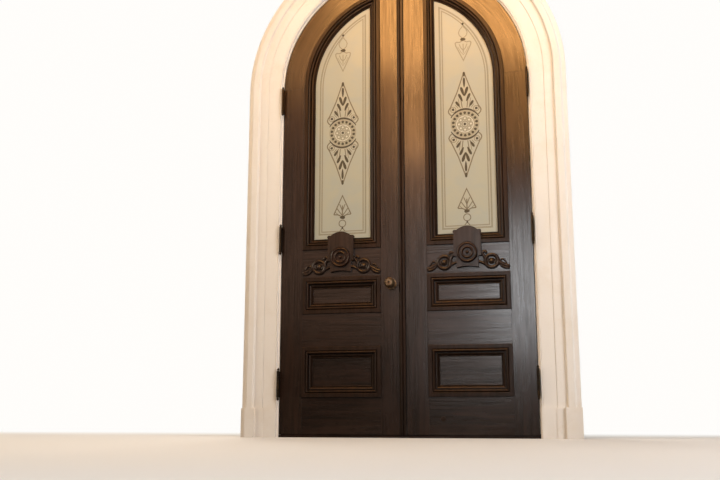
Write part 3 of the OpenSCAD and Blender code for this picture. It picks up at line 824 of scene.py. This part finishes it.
for leaf, side in leafSides.items():
    etchLeaf(leaf, side, etching)
print("etchings on the panes")


# Joint lines between stiles and rails: hairline shadows on both faces
jointLines = {"width": 0.0016, "proud": 0.0002, "short": 0.003}


def drawJoints(leaf, side, lines):
    mesh = bmesh.new()
    w, short = lines["width"] / 2, lines["short"]
    inner, outer = bottomLow[0], bottomHigh[0]
    spans = ((bottomLow[2], bottomHigh[2] - short), (middleLow[2] + short, middleHigh[2] - short),
             (friezeLow[2] + short, friezeHigh[2] - short))
    strips = [(x - w, low, x + w, high) for x in (inner, outer) for low, high in spans]
    strips.append((outer + short, springHeight - w, stileHigh[0], springHeight + w))
    for y in (bottomLow[1] - lines["proud"], bottomHigh[1] + lines["proud"]):
        for x0, z0, x1, z1 in strips:
            corners = [mesh.verts.new((side * x, y, z)) for x, z in ((x0, z0), (x1, z0), (x1, z1), (x0, z1))]
            mesh.faces.new(corners)
    piece = addPiece(f"{leaf}_joint_lines", mesh, "jointShadow")
    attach(piece, f"{leaf}_leaf")


for leaf, side in leafSides.items():
    drawJoints(leaf, side, jointLines)
print("joint lines drawn")


# A round plug with a shadow line round it, in the right bottom rail
plug = {
    "x": 0.221,
    "height": 0.107,
    "radius": 0.0125,
    "ring": 0.0165,
    "rise": 0.0012,
    "shoulder": (0.7, 0.8),  # shares of the radius and the rise
    "lineRise": 0.0002,
    "steps": 32,
}


def addPlugPiece(name, rings, material, p):
    mesh = bmesh.new()
    loops = []
    for radius, rise in rings:
        count = p["steps"] if radius else 1
        turns = [2 * math.pi * i / count for i in range(count)]
        loops.append([mesh.verts.new((p["x"] + radius * math.cos(a), bottomLow[1] - rise,
                                      p["height"] + radius * math.sin(a))) for a in turns])
    for inner, outer in zip(loops, loops[1:]):
        for i in range(p["steps"]):
            j = (i + 1) % p["steps"]
            start = [inner[0]] if len(inner) == 1 else [inner[j], inner[i]]
            mesh.faces.new(start + [outer[i], outer[j]])
    piece = addPiece(name, mesh, material)
    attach(piece, "right_leaf")


def addPlug(p):
    wide, high = p["shoulder"]
    dome = ((0, p["rise"]), (wide * p["radius"], high * p["rise"]), (p["radius"], 0))
    addPlugPiece("right_rail_plug", dome, "carvedWood", p)
    line = ((p["radius"], p["lineRise"]), (p["ring"], p["lineRise"]))
    addPlugPiece("right_rail_plug_line", line, "jointShadow", p)


addPlug(plug)
print("plug in the right leaf")


# A thin dark strip of painted shade in the seam, on the left leaf's edge, where such leaves usually have
# their rebate
seamShadeStrip = {"width": 0.004, "sunk": 0.0005, "front": 0.018, "back": 0.024, "short": 0.003}


def addSeamShadeStrip(s):
    x = (meetingHigh[0] - s["sunk"], meetingHigh[0] + s["width"])
    y = (s["front"], s["back"])
    z = (meetingLow[2] + s["short"], meetingHigh[2] - s["short"])
    mesh = bmesh.new()
    corners = [mesh.verts.new((x[i], y[j], z[k])) for k in (0, 1) for j in (0, 1) for i in (0, 1)]
    for face in ((0, 2, 3, 1), (4, 5, 7, 6), (0, 1, 5, 4), (2, 6, 7, 3), (0, 4, 6, 2), (1, 3, 7, 5)):
        mesh.faces.new([corners[i] for i in face])
    piece = addPiece("left_seam_shade_strip", mesh, "jointShadow")
    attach(piece, "left_leaf")


addSeamShadeStrip(seamShadeStrip)
print("seam strip on the left leaf")


# Floor, light and background
stageSetup = {
    "floorHalf": 30.0,
    "floorColour": (0.80, 0.77, 0.74, 1),
    "floorGlow": (0.14, 0.11, 0.09, 1),
    "floorRoughness": 0.9,
    "floorFade": (2.5, 7.0),
    "fadeBehind": (0.15, 1.6),
    "white": (1.0, 0.985, 0.96, 1),
    "worldColour": (1.0, 0.94, 0.86, 1),
    "worldStrength": 0.035,
}


# The camera sees a pale floor that fades into the background; the light that it sends on is weaker
def makeFloor(setup):
    half = setup["floorHalf"]
    corners = [(-half, -half, 0), (half, -half, 0), (half, half, 0), (-half, half, 0)]
    mesh = bpy.data.meshes.new("floor")
    mesh.from_pydata(corners, [], [(0, 1, 2, 3)])
    floor = bpy.data.objects.new("floor", mesh)
    bpy.context.collection.objects.link(floor)
    material, tree, shader, position = newMaterial("paleFloor")
    seen = tree.add("ShaderNodeLightPath").outputs["Is Camera Ray"]
    tree.link(tree.mix(seen, setup["floorGlow"], setup["floorColour"]), shader.inputs["Base Color"])
    shader.inputs["Roughness"].default_value = setup["floorRoughness"]
    far = tree.math("MAXIMUM", tree.spread(tree.length(position), *setup["floorFade"]),
                    tree.spread(tree.split(position)["Y"], *setup["fadeBehind"]))
    backdrop = tree.add("ShaderNodeEmission")
    backdrop.inputs["Color"].default_value = setup["white"]
    faded = tree.add("ShaderNodeMixShader")
    tree.link(tree.times(far, seen), faded.inputs["Fac"])
    tree.link(shader.outputs[0], faded.inputs[1])
    tree.link(backdrop.outputs[0], faded.inputs[2])
    tree.link(faded.outputs[0], material.node_tree.nodes["Material Output"].inputs["Surface"])
    mesh.materials.append(material)


def makeWorld(setup):
    world = bpy.data.worlds.new("studio")
    bpy.context.scene.world = world
    world.use_nodes = True
    tree = Tree(world.node_tree)
    background = world.node_tree.nodes["Background"]
    background.inputs["Color"].default_value = setup["worldColour"]
    background.inputs["Strength"].default_value = setup["worldStrength"]
    seen = tree.add("ShaderNodeBackground")
    seen.inputs["Color"].default_value = setup["white"]
    mixed = tree.add("ShaderNodeMixShader")
    tree.link(tree.add("ShaderNodeLightPath").outputs["Is Camera Ray"], mixed.inputs["Fac"])
    tree.link(background.outputs[0], mixed.inputs[1])
    tree.link(seen.outputs[0], mixed.inputs[2])
    tree.link(mixed.outputs[0], world.node_tree.nodes["World Output"].inputs["Surface"])


# Lamps that light surfaces, lamps that only show in shiny ones, and some that do both
lamps = {
    "overhead": {"place": (-0.02, -2.6, 3.9), "aim": (0.1, 0, 2.4), "size": (2.1, 1.0), "power": 102,
                 "colour": (1.0, 0.47, 0.14), "works": "gloss"},
    "overheadSoft": {"place": (0.0, -2.6, 4.2), "aim": (0, 0, 2.0), "size": (2.4, 1.2), "power": 75,
                     "colour": (1.0, 0.76, 0.5), "works": "diffuse"},
    "overheadLeft": {"place": (-1.5, -2.6, 3.7), "aim": (-0.4, 0, 2.4), "size": (0.8, 1.0), "power": 8.0,
                     "colour": (1.0, 0.47, 0.14), "works": "gloss"},
    "meetingGlow": {"place": (-0.36, -2.6, 2.95), "aim": (0, 0, 2.0), "size": (0.2, 0.95), "power": 7.5,
                    "colour": (1.0, 0.48, 0.16), "works": "gloss"},
    "meetingGlowLow": {"place": (-0.32, -2.6, 2.25), "aim": (0, 0, 1.6), "size": (0.24, 0.7), "power": 1.4,
                       "colour": (1.0, 0.56, 0.32), "works": "gloss"},
    "stileGlow": {"place": (0.62, -2.6, 3.0), "aim": (0.5, 0, 2.0), "size": (0.3, 1.2), "power": 4.8,
                  "colour": (1.0, 0.47, 0.14), "works": "gloss"},
    "window": {"place": (0.45, -6.2, 1.75), "aim": (0.6, 0, 1.0), "size": (0.7, 1.5), "power": 29,
               "colour": (0.92, 0.96, 1.0), "works": "both"},
    "windowSoft": {"place": (-0.1, -6.2, 1.7), "aim": (0.4, 0, 1.0), "size": (1.7, 2.6), "power": 12,
                   "colour": (0.97, 0.95, 0.97), "works": "both"},
    "room": {"place": (-1.9, -6.2, 3.1), "aim": (-0.4, 0, 1.4), "size": (2.4, 3.6), "power": 17,
             "colour": (1.0, 0.62, 0.45), "works": "gloss"},
    "softLeft": {"place": (-5.4, -2.6, 3.4), "aim": (-0.4, 0, 1.8), "size": (2.4, 2.4), "power": 165,
                 "colour": (1.0, 0.85, 0.67), "works": "both"},
    "softRight": {"place": (4.6, -3.2, 2.6), "aim": (0.4, 0, 1.3), "size": (2.0, 2.4), "power": 225,
                  "colour": (0.98, 0.98, 1.0), "works": "diffuse"},
    "sideShine": {"place": (4.6, -3.2, 2.6), "aim": (0.4, 0, 1.3), "size": (2.0, 2.4), "power": 60,
                  "colour": (1.0, 0.93, 0.88), "works": "gloss"},
    "behind": {"place": (-2.6, 4.5, 3.6), "aim": (0, 0, 1.3), "size": (3.2, 2.2), "power": 220,
               "colour": (1.0, 0.93, 0.84), "works": "both"},
}


def makeLamp(name, lamp):
    data = bpy.data.lights.new(name, "AREA")
    data.shape = "RECTANGLE"
    data.size, data.size_y = lamp["size"]
    data.energy = lamp["power"]
    data.color = lamp["colour"]
    holder = bpy.data.objects.new(name, data)
    holder.location = lamp["place"]
    towards = Vector(lamp["aim"]) - Vector(lamp["place"])
    holder.rotation_euler = towards.to_track_quat("-Z", "Y").to_euler()
    holder.visible_camera = False
    holder.visible_diffuse = lamp["works"] != "gloss"
    holder.visible_glossy = lamp["works"] != "diffuse"
    bpy.context.collection.objects.link(holder)


makeFloor(stageSetup)
makeWorld(stageSetup)
for name, lamp in lamps.items():
    makeLamp(name, lamp)
bpy.context.scene.view_settings.view_transform = "Standard"
print("stage lit")
